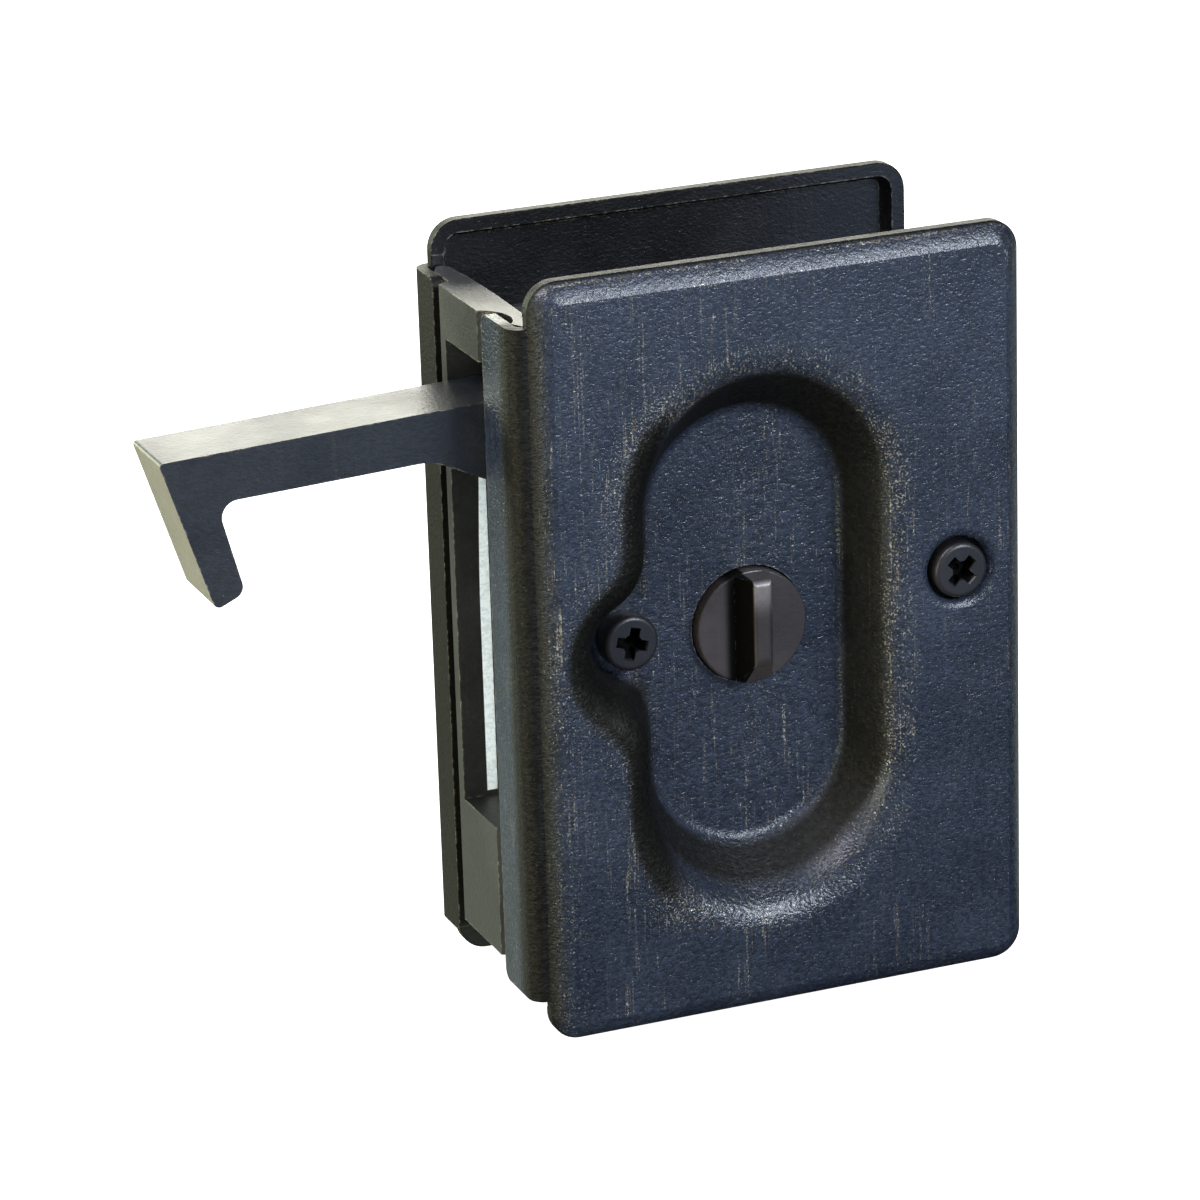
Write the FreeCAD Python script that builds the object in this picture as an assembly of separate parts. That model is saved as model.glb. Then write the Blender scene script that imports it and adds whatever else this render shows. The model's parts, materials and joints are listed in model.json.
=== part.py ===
import FreeCAD, Part
import math
import os

# Pocket door privacy lock, millimetres, +Z up.
# X runs across the plates, with the hook lever leaving at -X, the edge of the door.
# Y runs through the door: y = 0 is the inner face of the front plate's rim, where it
# bears on the door, and the back plate lies at y = door_gap. z = 0 is mid-height.
V = FreeCAD.Vector

# Plates: two like stampings, pressed from sheet, each with a finger cup and an edge flange
plate_width = 56.5
plate_height = 82.5
sheet = 1.2
corner_radius = 3.2
crown = 1.75
crown_band = 2.1
crown_start = 20
hollow_start = 50
rim_land = 1.5
bend_radius = 1.8
flange_reach = 7.0
flange_inset = 4.65
flange_corner = 1.2
fold_relief = 0.15
door_gap = 26.0

# Finger cup: a round-ended pocket with a side lobe for the left screw
cup_x = -1.2
cup_z = -0.5
cup_half_width = 11.0
cup_half_height = 23.7
cup_depth = 7.55
cup_side_run = 2.95
cup_end_run = 6.4
cup_lip = 4.2
cup_floor_round = 1.2
lobe_radius = 3.8
lobe_blend = 8.0

# Screws, their pockets in the front plate and their posts on the back plate
left_screw_out = 13.6
left_screw_rise = 0.8
right_screw_inset = 7.65
right_screw_z = 4.4
screw_head_radius = 3.0
left_head_height = 2.8
right_head_height = 2.1
screw_head_round = 0.5
screw_shank_radius = 1.75
left_screw_length = 15.1
right_screw_length = 26.5
pocket_radius = 3.4
pocket_depth = 1.6
pocket_lip = 1.2
pocket_back_round = 1.0
post_radius = 3.0
post_foot_radius = 3.7
post_foot_height = 0.6
right_post_start = 2.4
driver_cross_width = 1.15
driver_cross_span = 3.6
driver_cross_depth = 1.5

# Edge channel between the flanges, with the window that the lever swings through
channel_raised_width = 11.2
channel_thickness = 3.9
channel_arch = 0.7
arch_start = 5.0
arch_round = 12.0
top_bar = 5.5
bottom_bar = 14.4
channel_end_gap = 0.2
channel_ramp = 0.5
groove_length = 5.2
groove_depth = 0.9
nose_gap = 0.5
window_width = 9.8
lug_length = 9.6
lug_drop = 11.5
lug_gap = 0.8
tail_gap = 0.6
top_lug = 1.5
boss_radius = 2.6
boss_out = 8.9
boss_rise = 10.0

# Mechanism case: two flat cheeks held apart by lugs, a spacer and rivets
cheek_thickness = 1.2
cheek_inset = 0.15
cheek_nose_radius = 8.0
cheek_corner = 3.0
rivet_radius = 1.3
rivet_head_radius = 2.4
rivet_head_height = 0.7
spacer_out = 4.7
spacer_drop = 12.4
spacer_radius = 2.5

# Hook lever, drawn with its pivot at the origin and its top face level
flush_gap = 0.05
pivot_z = 20.8
pivot_radius = 2.0
pivot_head_radius = 3.2
lever_thickness = 9.0
lever_top = 6.1
lever_reach = 40.4
lever_droop = 2.5
lever_swing = 87.5
arm_height = 5.25
hook_drop = 15.8
hook_lean = 4.3
hook_tip_width = 3.3
flare_out = 5.4
throat_round = 1.8
hub_radius = 5.0
hub_rear_radius = 3.6
washer_gap = 0.1
rear_washer_room = 0.6
stop_pin_inset = 0.45
stop_pin_radius = 1.2

# Crank, link and tail: a parallelogram, so the turn and the lever swing alike
crank_radius = 8.0
link_eye_radius = 2.4
link_half_width = 1.8
arm_layer = 2.6
link_layer = 2.0
layer_gap = 0.3
link_pin_radius = 1.4
link_pin_head = 0.6

# Thumb turn, coin turn and the flat bar that joins them through the door
turn_shift = 0.65
turn_radius = 6.2
turn_hole_radius = 6.4
turn_proud = 1.3
turn_edge = 0.25
bar_height = 3.0
bar_thickness = 2.0
bar_foot_thickness = 4.0
bar_end_slope = 2.6
spindle_radius = 3.5
spindle_rear_radius = 3.0
crank_boss_radius = 5.2
flat_bar_width = 4.5
flat_bar_thickness = 2.0
flat_bar_length = 12.9
coin_slot_width = 1.6
coin_slot_depth = 1.0
coin_turn_proud = 0.9
coin_turn_radius = 7.5
coin_ring_radius = 7.5
coin_ring_thickness = 0.55

# Clearances
running_fit = 0.05
sliding_gap = 0.1
sheet_gap = 0.15
post_gap = 0.4

# Places that follow from the sizes above
left_x = -plate_width / 2
right_x = plate_width / 2
blank_left_x = left_x + bend_radius
face_y = -(sheet + crown)
cup_floor_y = face_y + cup_depth
cup_back_y = cup_floor_y + sheet
front_cheek_y = cup_back_y
front_cheek_back = front_cheek_y + cheek_thickness
flange_half_height = plate_height / 2 - flange_inset
turn_x = cup_x + turn_shift
turn_z = cup_z
left_screw_x = cup_x - left_screw_out
left_screw_z = cup_z + left_screw_rise
right_screw_x = right_x - right_screw_inset
spacer_x = cup_x + spacer_out
spacer_z = cup_z - spacer_drop
pivot_x = left_x + lever_top + flush_gap
lug_low_z = pivot_z + crank_radius + link_eye_radius + tail_gap
window_top = lug_low_z - lug_gap
window_bottom = pivot_z - lever_reach - nose_gap
channel_top = window_top + top_bar
channel_bottom = window_bottom - bottom_bar
channel_front_y = flange_reach + sheet_gap
channel_back_y = channel_front_y + channel_raised_width
channel_middle_y = (channel_front_y + channel_back_y) / 2
window_front = channel_middle_y - window_width / 2
lever_front = window_front + (window_width - lever_thickness) / 2
lever_back = lever_front + lever_thickness
rear_cheek_y = lever_back + rear_washer_room
rear_cheek_back = rear_cheek_y + cheek_thickness
arm_layer_y = lever_front + 0.6
link_layer_y = arm_layer_y + arm_layer + layer_gap
channel_inner_x = left_x + channel_thickness
stop_pin_x = channel_inner_x + stop_pin_radius + stop_pin_inset
stop_pin_z = pivot_z - lever_reach - flush_gap
lug_x = channel_inner_x + lug_length
link_angle = math.atan2(turn_z - pivot_z, turn_x - pivot_x)
tail_angle = link_angle + math.pi / 2 - math.radians(lever_swing / 2)
tail_x = pivot_x + crank_radius * math.cos(tail_angle)
tail_z = pivot_z + crank_radius * math.sin(tail_angle)
crank_x = turn_x + crank_radius * math.cos(tail_angle)
crank_z = turn_z + crank_radius * math.sin(tail_angle)
top_rivet_x = pivot_x + boss_out
top_rivet_z = pivot_z + boss_rise
lug_top_z = lug_low_z + top_lug
bottom_rivet_z = channel_bottom + rivet_head_radius + 1.0
bottom_rivet_x = channel_inner_x + lug_length * 0.6


def block(x0, x1, y0, y1, z0, z1):
    return Part.makeBox(x1 - x0, y1 - y0, z1 - z0, V(x0, y0, z0))


def rod(x, z, radius, y0, y1):
    return Part.makeCylinder(radius, y1 - y0, V(x, y0, z), V(0, 1, 0))


def tube(x, z, outer, inner, y0, y1):
    return rod(x, z, outer, y0, y1).cut(rod(x, z, inner, y0 - 1, y1 + 1))


def unit(a, b):
    length = math.dist(a, b)
    return ((b[0] - a[0]) / length, (b[1] - a[1]) / length)


def rounded_edges(corners, place):
    # corners are (u, v, radius); each corner becomes a tangent arc of its radius
    spans = []
    count = len(corners)
    for i, (u, v, radius) in enumerate(corners):
        before = unit((u, v), corners[i - 1][:2])
        after = unit((u, v), corners[(i + 1) % count][:2])
        if radius == 0:
            spans.append(((u, v), None, (u, v)))
            continue
        half = math.acos(max(-1, min(1, before[0] * after[0] + before[1] * after[1]))) / 2
        reach = radius / math.tan(half)
        middle = (before[0] + after[0], before[1] + after[1])
        size = math.hypot(*middle)
        depth = radius / math.sin(half) - radius
        start = (u + before[0] * reach, v + before[1] * reach)
        end = (u + after[0] * reach, v + after[1] * reach)
        arc_mid = (u + middle[0] / size * depth, v + middle[1] / size * depth)
        spans.append((start, arc_mid, end))
    edges = []
    for i, (start, arc_mid, end) in enumerate(spans):
        previous_end = spans[i - 1][2]
        if math.dist(previous_end, start) > 1e-6:
            edges.append(Part.LineSegment(place(*previous_end), place(*start)).toShape())
        if arc_mid:
            edges.append(Part.Arc(place(*start), place(*arc_mid), place(*end)).toShape())
    return edges


def upright_plate(corners, y0, y1):
    # an outline drawn in the X-Z plane, y1 - y0 thick
    edges = rounded_edges(corners, lambda u, v: V(u, y0, v))
    return Part.Face(Part.Wire(edges)).extrude(V(0, y1 - y0, 0))


def post_outline(corners, z0, z1):
    # an outline drawn in the X-Y plane, standing from z0 to z1
    edges = rounded_edges(corners, lambda u, v: V(u, v, z0))
    return Part.Face(Part.Wire(edges)).extrude(V(0, 0, z1 - z0))


def edges_at_y(shape, y, keep=lambda edge: True):
    found = []
    for edge in shape.Edges:
        box = edge.BoundBox
        if abs(box.YMin - y) < 1e-4 and abs(box.YMax - y) < 1e-4 and keep(edge):
            found.append(edge)
    return found


def near_centre(reach_x, reach_z):
    # true for edges that lie wholly near the middle of the plate
    def test(edge):
        box = edge.BoundBox
        wide = max(-box.XMin, box.XMax) < reach_x
        return wide and max(-box.ZMin, box.ZMax) < reach_z
    return test


def pillow(inset, band, drop, start_slope, front, back):
    # a round-cornered slab whose front edge falls away along a circular arc
    x0 = blank_left_x + inset
    x1 = right_x - inset
    z1 = plate_height / 2 - inset
    radius = max(corner_radius - inset, band + 0.3)
    chord = math.hypot(band, drop)
    bulge = chord / 2 * math.tan((math.atan2(drop, band) - math.radians(start_slope)) / 2)
    mid = (radius - band / 2 + bulge * drop / chord, front + drop / 2 - bulge * band / chord)

    def section(place):
        start = place(0, front)
        flat = place(radius - band, front)
        rim = place(radius, front + drop)
        lines = [Part.LineSegment(start, flat).toShape(),
                 Part.Arc(flat, place(*mid), rim).toShape(),
                 Part.LineSegment(rim, place(radius, back)).toShape(),
                 Part.LineSegment(place(radius, back), place(0, back)).toShape(),
                 Part.LineSegment(place(0, back), start).toShape()]
        return Part.Face(Part.Wire(lines))

    solid = block(x0 + radius, x1 - radius, front, back, -z1 + radius, z1 - radius)
    sides = [(x1 - radius, -z1 + radius, (1, 0), (0, 1), 2 * (z1 - radius)),
             (x0 + radius, z1 - radius, (-1, 0), (0, -1), 2 * (z1 - radius)),
             (x1 - radius, z1 - radius, (0, 1), (-1, 0), x1 - x0 - 2 * radius),
             (x0 + radius, -z1 + radius, (0, -1), (1, 0), x1 - x0 - 2 * radius)]
    for x, z, out, along, length in sides:
        face = section(lambda r, y: V(x + out[0] * r, y, z + out[1] * r))
        solid = solid.fuse(face.extrude(V(along[0] * length, 0, along[1] * length)))
        turned = face.revolve(V(x, 0, z), V(0, 1, 0), 90)
        solid = solid.fuse(turned)
    return solid.removeSplitter()


def cup_outline(side, end):
    # the cup's wall line, grown by so much at its sides and its ends: a round-ended slot
    # with the screw lobe blended into its left side
    half = cup_half_width + side
    lobe = lobe_radius + side
    blend = lobe_blend - side
    straight = cup_half_height + end - half
    wall_x = cup_x - half
    blend_x = wall_x - blend
    rise = math.sqrt((lobe + blend) ** 2 - (left_screw_x - blend_x) ** 2)
    share = lobe / (lobe + blend)
    edges = []

    def spot(x, z):
        return V(x, 0, z)

    def arc(a, b, c):
        edges.append(Part.Arc(spot(*a), spot(*b), spot(*c)).toShape())

    def line(a, b):
        edges.append(Part.LineSegment(spot(*a), spot(*b)).toShape())

    def join(side):
        # the point where a blend arc meets the lobe, and the arc's middle and wall end
        centre = (blend_x, left_screw_z + side * rise)
        meet = (left_screw_x + (centre[0] - left_screw_x) * share,
                left_screw_z + (centre[1] - left_screw_z) * share)
        wall = (wall_x, centre[1])
        a = math.atan2(meet[1] - centre[1], meet[0] - centre[0])
        mid = (centre[0] + blend * math.cos(a / 2), centre[1] + blend * math.sin(a / 2))
        return wall, mid, meet

    top = cup_z + straight
    bottom = cup_z - straight
    upper_wall, upper_mid, upper_meet = join(1)
    lower_wall, lower_mid, lower_meet = join(-1)
    arc((cup_x - half, top), (cup_x, top + half), (cup_x + half, top))
    line((cup_x + half, top), (cup_x + half, bottom))
    arc((cup_x + half, bottom), (cup_x, bottom - half), (cup_x - half, bottom))
    line((cup_x - half, bottom), lower_wall)
    arc(lower_wall, lower_mid, lower_meet)
    arc(lower_meet, (left_screw_x - lobe, left_screw_z), upper_meet)
    arc(upper_meet, upper_mid, upper_wall)
    line(upper_wall, (cup_x - half, top))
    return Part.Wire(edges)


def cup_form(offset, start):
    # one side of the drawn cup: a slab with the sloping pocket below it, rounded at both ends
    level = face_y + offset
    floor = cup_floor_y + offset
    side = offset * math.tan(math.atan2(cup_depth, cup_side_run) / 2)
    end = offset * math.tan(math.atan2(cup_depth, cup_end_run) / 2)
    margin = 20
    slab = block(left_x - margin, right_x + margin, start, level,
                 -plate_height / 2 - margin, plate_height / 2 + margin)
    mouth = cup_outline(cup_side_run + side, cup_end_run + end)
    mouth.translate(V(0, level, 0))
    bed = cup_outline(side, end)
    bed.translate(V(0, floor, 0))
    form = slab.fuse(Part.makeLoft([mouth, bed], True, True)).removeSplitter()
    inside = near_centre(plate_width / 2, plate_height / 2)
    form = form.makeFillet(cup_lip - offset, edges_at_y(form, level, inside))
    return form.makeFillet(cup_floor_round + offset, edges_at_y(form, floor))


def pressed_plate():
    # the sheet as both plates are stamped: crowned face, cup, lobe and edge flange
    rim = pillow(0, crown_band, crown, crown_start, face_y, 0)
    hollow = pillow(rim_land, crown_band - rim_land + 0.1, crown, hollow_start, -crown, sheet)
    deep = pillow(0, crown_band, crown, crown_start, face_y, cup_back_y + 1)
    middle = cup_form(sheet, face_y).common(deep)
    plate = rim.cut(hollow).fuse(middle).cut(cup_form(0, face_y - 6))
    # along the fold the land is let in a little, where the channel's ends lie on it
    plate = plate.cut(block(left_x, blank_left_x + rim_land + 0.3, -fold_relief, 1,
                            -flange_half_height - 1, flange_half_height + 1))
    return plate.fuse(edge_flange()).removeSplitter()


def edge_flange():
    # the flange along the door's edge, bent round from the rim
    half = flange_half_height
    centre_y = bend_radius - sheet
    bend = tube_along_z(blank_left_x, centre_y, bend_radius, bend_radius - sheet, half)
    quarter = block(left_x - 1, blank_left_x, -sheet - 1, centre_y, -half, half)
    edges = rounded_edges([(centre_y, -half, 0), (flange_reach, -half, flange_corner),
                           (flange_reach, half, flange_corner), (centre_y, half, 0)],
                          lambda u, v: V(left_x, u, v))
    flat = Part.Face(Part.Wire(edges)).extrude(V(sheet, 0, 0))
    return bend.common(quarter).fuse(flat)


def tube_along_z(x, y, outer, inner, half):
    outside = Part.makeCylinder(outer, 2 * half, V(x, y, -half))
    return outside.cut(Part.makeCylinder(inner, 2 * half, V(x, y, -half)))


def add_pocket(plate, x, z, surface_y):
    # a small pressed dimple that takes a screw head part of the way into the sheet
    floor = surface_y + pocket_depth
    back = rod(x, z, pocket_radius + sheet, surface_y + sheet / 2, floor + sheet)
    back = back.makeFillet(pocket_back_round, edges_at_y(back, floor + sheet))
    plate = plate.fuse(back).cut(rod(x, z, pocket_radius, surface_y - 1, floor))
    lip = edges_at_y(plate, surface_y, circle_of(x, z, pocket_radius))
    plate = plate.makeFillet(pocket_lip, lip)
    return plate.cut(screw_hole(x, z, floor))


def screw_hole(x, z, y):
    return rod(x, z, screw_shank_radius + running_fit * 3, y - 1, y + sheet + 1)


def circle_of(x, z, radius):
    def test(edge):
        curve = edge.Curve
        if not isinstance(curve, Part.Circle):
            return False
        near = abs(curve.Center.x - x) < 1e-4 and abs(curve.Center.z - z) < 1e-4
        return near and abs(curve.Radius - radius) < 1e-4
    return test


def front_plate():
    plate = pressed_plate()
    plate = plate.cut(rod(turn_x, turn_z, turn_hole_radius, cup_floor_y - 1, cup_back_y + 1))
    plate = plate.cut(screw_hole(left_screw_x, left_screw_z, cup_floor_y))
    return add_pocket(plate, right_screw_x, right_screw_z, face_y)


def to_back(shape):
    # a front-half shape turned to face the other way, at the back of the door
    turned = shape.mirror(V(0, 0, 0), V(0, 1, 0))
    turned.translate(V(0, door_gap, 0))
    return turned


def back_plate():
    plate = pressed_plate()
    plate = plate.cut(rod(turn_x, turn_z, turn_hole_radius, cup_floor_y - 1, cup_back_y + 1))
    return to_back(plate)


def edge_channel():
    # a cast bar: raised in the middle, let in under both flanges, arched on its inner side
    let_in = left_x + sheet + sheet_gap
    front_end = sheet_gap
    back_end = door_gap - channel_end_gap
    bevel = bend_radius
    corners = [(left_x, channel_front_y, 0.3), (let_in, channel_front_y, 0),
               (let_in, bevel, 0), (let_in + 0.9, front_end, 0),
               (channel_inner_x - channel_arch, front_end, 0.4),
               (channel_inner_x - channel_arch * 0.2, front_end + arch_start, arch_round),
               (channel_inner_x, door_gap / 2, 0),
               (channel_inner_x - channel_arch * 0.2, back_end - arch_start, arch_round),
               (channel_inner_x - channel_arch, back_end, 0.4),
               (let_in + 0.9, back_end, 0), (let_in, back_end - bevel, 0),
               (let_in, channel_back_y + channel_ramp, 0), (left_x, channel_back_y, 0.3)]
    bar = post_outline(corners, channel_bottom, channel_top)
    groove_radius = (groove_length ** 2 / 4 + groove_depth ** 2) / (2 * groove_depth)
    groove_y = (bevel + channel_front_y) / 2
    groove = Part.makeCylinder(groove_radius, channel_top - channel_bottom + 2,
                               V(let_in + groove_depth - groove_radius, groove_y,
                                 channel_bottom - 1))
    bar = bar.cut(groove)
    for reach, low, high in ((top_rivet_x, lug_low_z, lug_top_z),
                             (lug_x, channel_bottom + 0.5, channel_bottom + lug_drop)):
        bar = bar.fuse(block(channel_inner_x - 1.5, reach, front_cheek_back, rear_cheek_y,
                             low, high))
    bar = bar.fuse(rod(top_rivet_x, top_rivet_z, boss_radius, front_cheek_back, rear_cheek_y))
    window = block(left_x - 5, lug_x + 5, window_front, window_front + window_width,
                   window_bottom, window_top)
    bar = bar.cut(window).removeSplitter()
    # the pivot's heads and washers sit in a round relief in the channel's inner side
    bar = bar.cut(rod(pivot_x, pivot_z, pivot_head_radius + sheet_gap,
                      front_cheek_y - rivet_head_height - sheet_gap,
                      rear_cheek_back + rivet_head_height + sheet_gap))
    for x, z in ((top_rivet_x, top_rivet_z), (bottom_rivet_x, bottom_rivet_z)):
        bar = bar.cut(rod(x, z, rivet_radius, front_cheek_y, rear_cheek_back))
    return bar


def cheek_blank(y0):
    left = channel_inner_x + cheek_inset
    top = lug_top_z
    bottom = channel_bottom + 0.5
    nose = cup_x + cheek_nose_radius
    corners = [(left, bottom, 1.0), (lug_x + 0.4, bottom, cheek_corner),
               (spacer_x + 5.5, spacer_z - 4.5, cheek_corner),
               (nose + 1.5, cup_z - 2, cheek_nose_radius),
               (crank_x - 3, cup_z + cheek_nose_radius + 4, cheek_corner),
               (top_rivet_x + 2.5, top, cheek_corner), (left, top, 1.0)]
    plate = upright_plate(corners, y0, y0 + cheek_thickness)
    holes = [(pivot_x, pivot_z, pivot_radius), (top_rivet_x, top_rivet_z, rivet_radius),
             (bottom_rivet_x, bottom_rivet_z, rivet_radius), (spacer_x, spacer_z, rivet_radius),
             (stop_pin_x, stop_pin_z, stop_pin_radius)]
    for x, z, radius in holes:
        plate = plate.cut(rod(x, z, radius, y0 - 1, y0 + cheek_thickness + 1))
    return plate


def front_cheek():
    plate = cheek_blank(front_cheek_y)
    plate = plate.cut(rod(turn_x, turn_z, spindle_radius + running_fit,
                          front_cheek_y - 1, front_cheek_back + 1))
    return plate.cut(rod(left_screw_x, left_screw_z, post_radius + post_gap,
                         front_cheek_y - 1, front_cheek_back + 1))


def rear_cheek():
    plate = cheek_blank(rear_cheek_y)
    plate = plate.cut(rod(turn_x, turn_z, spindle_rear_radius + running_fit,
                          rear_cheek_y - 1, rear_cheek_back + 1))
    return plate.cut(rod(left_screw_x, left_screw_z, post_radius + post_gap,
                         rear_cheek_y - 1, rear_cheek_back + 1))


def domed_head(x, z, radius, height, seat_y, outward):
    # a low rivet head that stands on seat_y and faces along outward, 1 or -1
    ball = (radius ** 2 + height ** 2) / (2 * height)
    sphere = Part.makeSphere(ball, V(x, seat_y + outward * (height - ball), z))
    low, high = sorted((seat_y, seat_y + outward * (height + 1)))
    return sphere.common(rod(x, z, radius + 1, low, high))


def riveted_pin(x, z, radius, head_radius, y0, y1, head=rivet_head_height):
    pin = rod(x, z, radius, y0, y1)
    pin = pin.fuse(domed_head(x, z, head_radius, head, y0, -1))
    return pin.fuse(domed_head(x, z, head_radius, head, y1, 1)).removeSplitter()


def cheek_rivets():
    rivets = [riveted_pin(x, z, rivet_radius, rivet_head_radius, front_cheek_y, rear_cheek_back)
              for x, z in ((top_rivet_x, top_rivet_z), (bottom_rivet_x, bottom_rivet_z))]
    # the third rivet passes under the cup, so its front head is countersunk flush
    low = riveted_pin(spacer_x, spacer_z, rivet_radius, rivet_head_radius,
                      front_cheek_y, rear_cheek_back)
    rivets.append(low.cut(block(spacer_x - 5, spacer_x + 5, front_cheek_y - 5,
                                front_cheek_y, spacer_z - 5, spacer_z + 5)))
    return Part.makeCompound(rivets)


def cheek_spacer():
    return tube(spacer_x, spacer_z, spacer_radius, rivet_radius + running_fit,
                front_cheek_back, rear_cheek_y)


def lever_pivot_pin():
    return riveted_pin(pivot_x, pivot_z, pivot_radius, pivot_head_radius,
                       front_cheek_y, rear_cheek_back)


def pivot_washers():
    front = tube(pivot_x, pivot_z, pivot_head_radius, pivot_radius + running_fit,
                 front_cheek_back, lever_front - washer_gap)
    rear = tube(pivot_x, pivot_z, pivot_head_radius, pivot_radius + running_fit,
                lever_back + washer_gap, rear_cheek_y)
    return Part.makeCompound([front, rear])


def stop_pin():
    return rod(stop_pin_x, stop_pin_z, stop_pin_radius, front_cheek_y, rear_cheek_back)


def lever_blank():
    # side view of the arm and hook, top face level, pivot at the origin
    under = lever_top - arm_height
    tip_x = -lever_reach + hook_lean
    tip_z = lever_top - hook_drop
    inner_x = tip_x + hook_tip_width
    corners = [(-lever_reach, lever_top, 0.4), (tip_x, tip_z, 0.7),
               (inner_x, tip_z + 1.3, 1.3), (inner_x - 2.0, under, throat_round),
               (-lever_top - flare_out, under, 6.0), (-3.6, -3.4, 0.0),
               (0, -3.4, 0), (4.6, 0, 3.0), (3.4, lever_top, 3.0)]
    return corners


def hook_lever():
    arm = upright_plate(lever_blank(), lever_front, lever_back)
    arm = arm.fuse(rod(0, 0, hub_radius, lever_front, lever_back))
    # behind the tail the hub is turned down, so that the link swings past it
    room = block(-3.0, hub_radius + 5, link_layer_y - layer_gap, lever_back + 1,
                 -hub_radius - 5, lever_top - 2.2)
    keep = rod(0, 0, hub_rear_radius, lever_front, lever_back)
    arm = arm.cut(room.cut(keep))
    arm.translate(V(pivot_x, 0, pivot_z))
    arm.rotate(V(pivot_x, 0, pivot_z), V(0, -1, 0), lever_droop)
    arm = arm.fuse(link_arm(pivot_x, pivot_z, tail_x, tail_z, hub_radius * 0.8))
    arm = arm.cut(rod(pivot_x, pivot_z, pivot_radius + running_fit,
                      lever_front - 1, lever_back + 1))
    arm = arm.cut(rod(tail_x, tail_z, link_pin_radius, lever_front - 1, lever_back + 1))
    return arm.removeSplitter()


def link_arm(x0, z0, x1, z1, root_radius):
    # a tapered arm from a hub to an eye, in the tail's layer
    y0 = arm_layer_y
    y1 = arm_layer_y + arm_layer
    along = unit((x0, z0), (x1, z1))
    side = (-along[1], along[0])
    wide = root_radius
    narrow = link_eye_radius
    corners = [(x0 + side[0] * wide, z0 + side[1] * wide, 0),
               (x0 - side[0] * wide, z0 - side[1] * wide, 0),
               (x1 - side[0] * narrow, z1 - side[1] * narrow, 0),
               (x1 + side[0] * narrow, z1 + side[1] * narrow, 0)]
    arm = upright_plate(corners, y0, y1)
    return arm.fuse(rod(x1, z1, narrow, y0, y1)).fuse(rod(x0, z0, wide, y0, y1))


def tail_pin():
    return link_pin(tail_x, tail_z)


def crank_pin():
    return link_pin(crank_x, crank_z)


def link_pin(x, z):
    front = arm_layer_y
    back = link_layer_y + link_layer + sliding_gap
    return riveted_pin(x, z, link_pin_radius, link_pin_radius + 0.8, front, back,
                       link_pin_head - 0.05)


def drive_link():
    y0 = link_layer_y
    y1 = link_layer_y + link_layer
    along = unit((tail_x, tail_z), (crank_x, crank_z))
    side = (-along[1] * link_half_width, along[0] * link_half_width)
    bar = upright_plate([(tail_x + side[0], tail_z + side[1], 0),
                         (tail_x - side[0], tail_z - side[1], 0),
                         (crank_x - side[0], crank_z - side[1], 0),
                         (crank_x + side[0], crank_z + side[1], 0)], y0, y1)
    for x, z in ((tail_x, tail_z), (crank_x, crank_z)):
        bar = bar.fuse(rod(x, z, link_eye_radius, y0, y1))
    for x, z in ((tail_x, tail_z), (crank_x, crank_z)):
        bar = bar.cut(rod(x, z, link_pin_radius + running_fit, y0 - 1, y1 + 1))
    return bar.removeSplitter()


def crank():
    arm = link_arm(turn_x, turn_z, crank_x, crank_z, crank_boss_radius * 0.8)
    arm = arm.fuse(rod(turn_x, turn_z, crank_boss_radius, arm_layer_y, arm_layer_y + arm_layer))
    arm = arm.cut(rod(turn_x, turn_z, spindle_radius, arm_layer_y - 1, arm_layer_y + 5))
    return arm.cut(rod(crank_x, crank_z, link_pin_radius, arm_layer_y - 1, arm_layer_y + 5))


def friction_washer():
    # a coned spring washer: its inner edge bears on the cheek, its outer edge on the crank
    inner = spindle_radius + 0.2
    outer = crank_boss_radius + 0.3
    gauge = 0.45
    low = front_cheek_back
    high = arm_layer_y - running_fit
    points = [V(turn_x + inner, low, turn_z), V(turn_x + inner + 0.2, low, turn_z),
              V(turn_x + outer, high - gauge, turn_z), V(turn_x + outer, high, turn_z),
              V(turn_x + outer - 0.2, high, turn_z), V(turn_x + inner, low + gauge, turn_z)]
    face = Part.Face(Part.makePolygon(points + points[:1]))
    return face.revolve(V(turn_x, 0, turn_z), V(0, 1, 0), 360)


def thumb_turn():
    # disc, raised grip bar and the hollow spindle behind them, in one piece
    disc_y = cup_floor_y - turn_proud
    disc_back = cup_back_y - running_fit
    disc = rod(turn_x, turn_z, turn_radius, disc_y, disc_back)
    disc = disc.makeFillet(turn_edge, edges_at_y(disc, disc_y))
    spindle = rod(turn_x, turn_z, spindle_radius, disc_back, rear_cheek_y - 0.2)
    journal = rod(turn_x, turn_z, spindle_rear_radius, rear_cheek_y - 1, rear_cheek_back - 0.1)
    turn = disc.fuse(spindle).fuse(journal).fuse(grip_bar(disc_y))
    slot = flat_bar_slot(front_cheek_back, rear_cheek_back + 1)
    return turn.cut(slot).removeSplitter()


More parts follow.
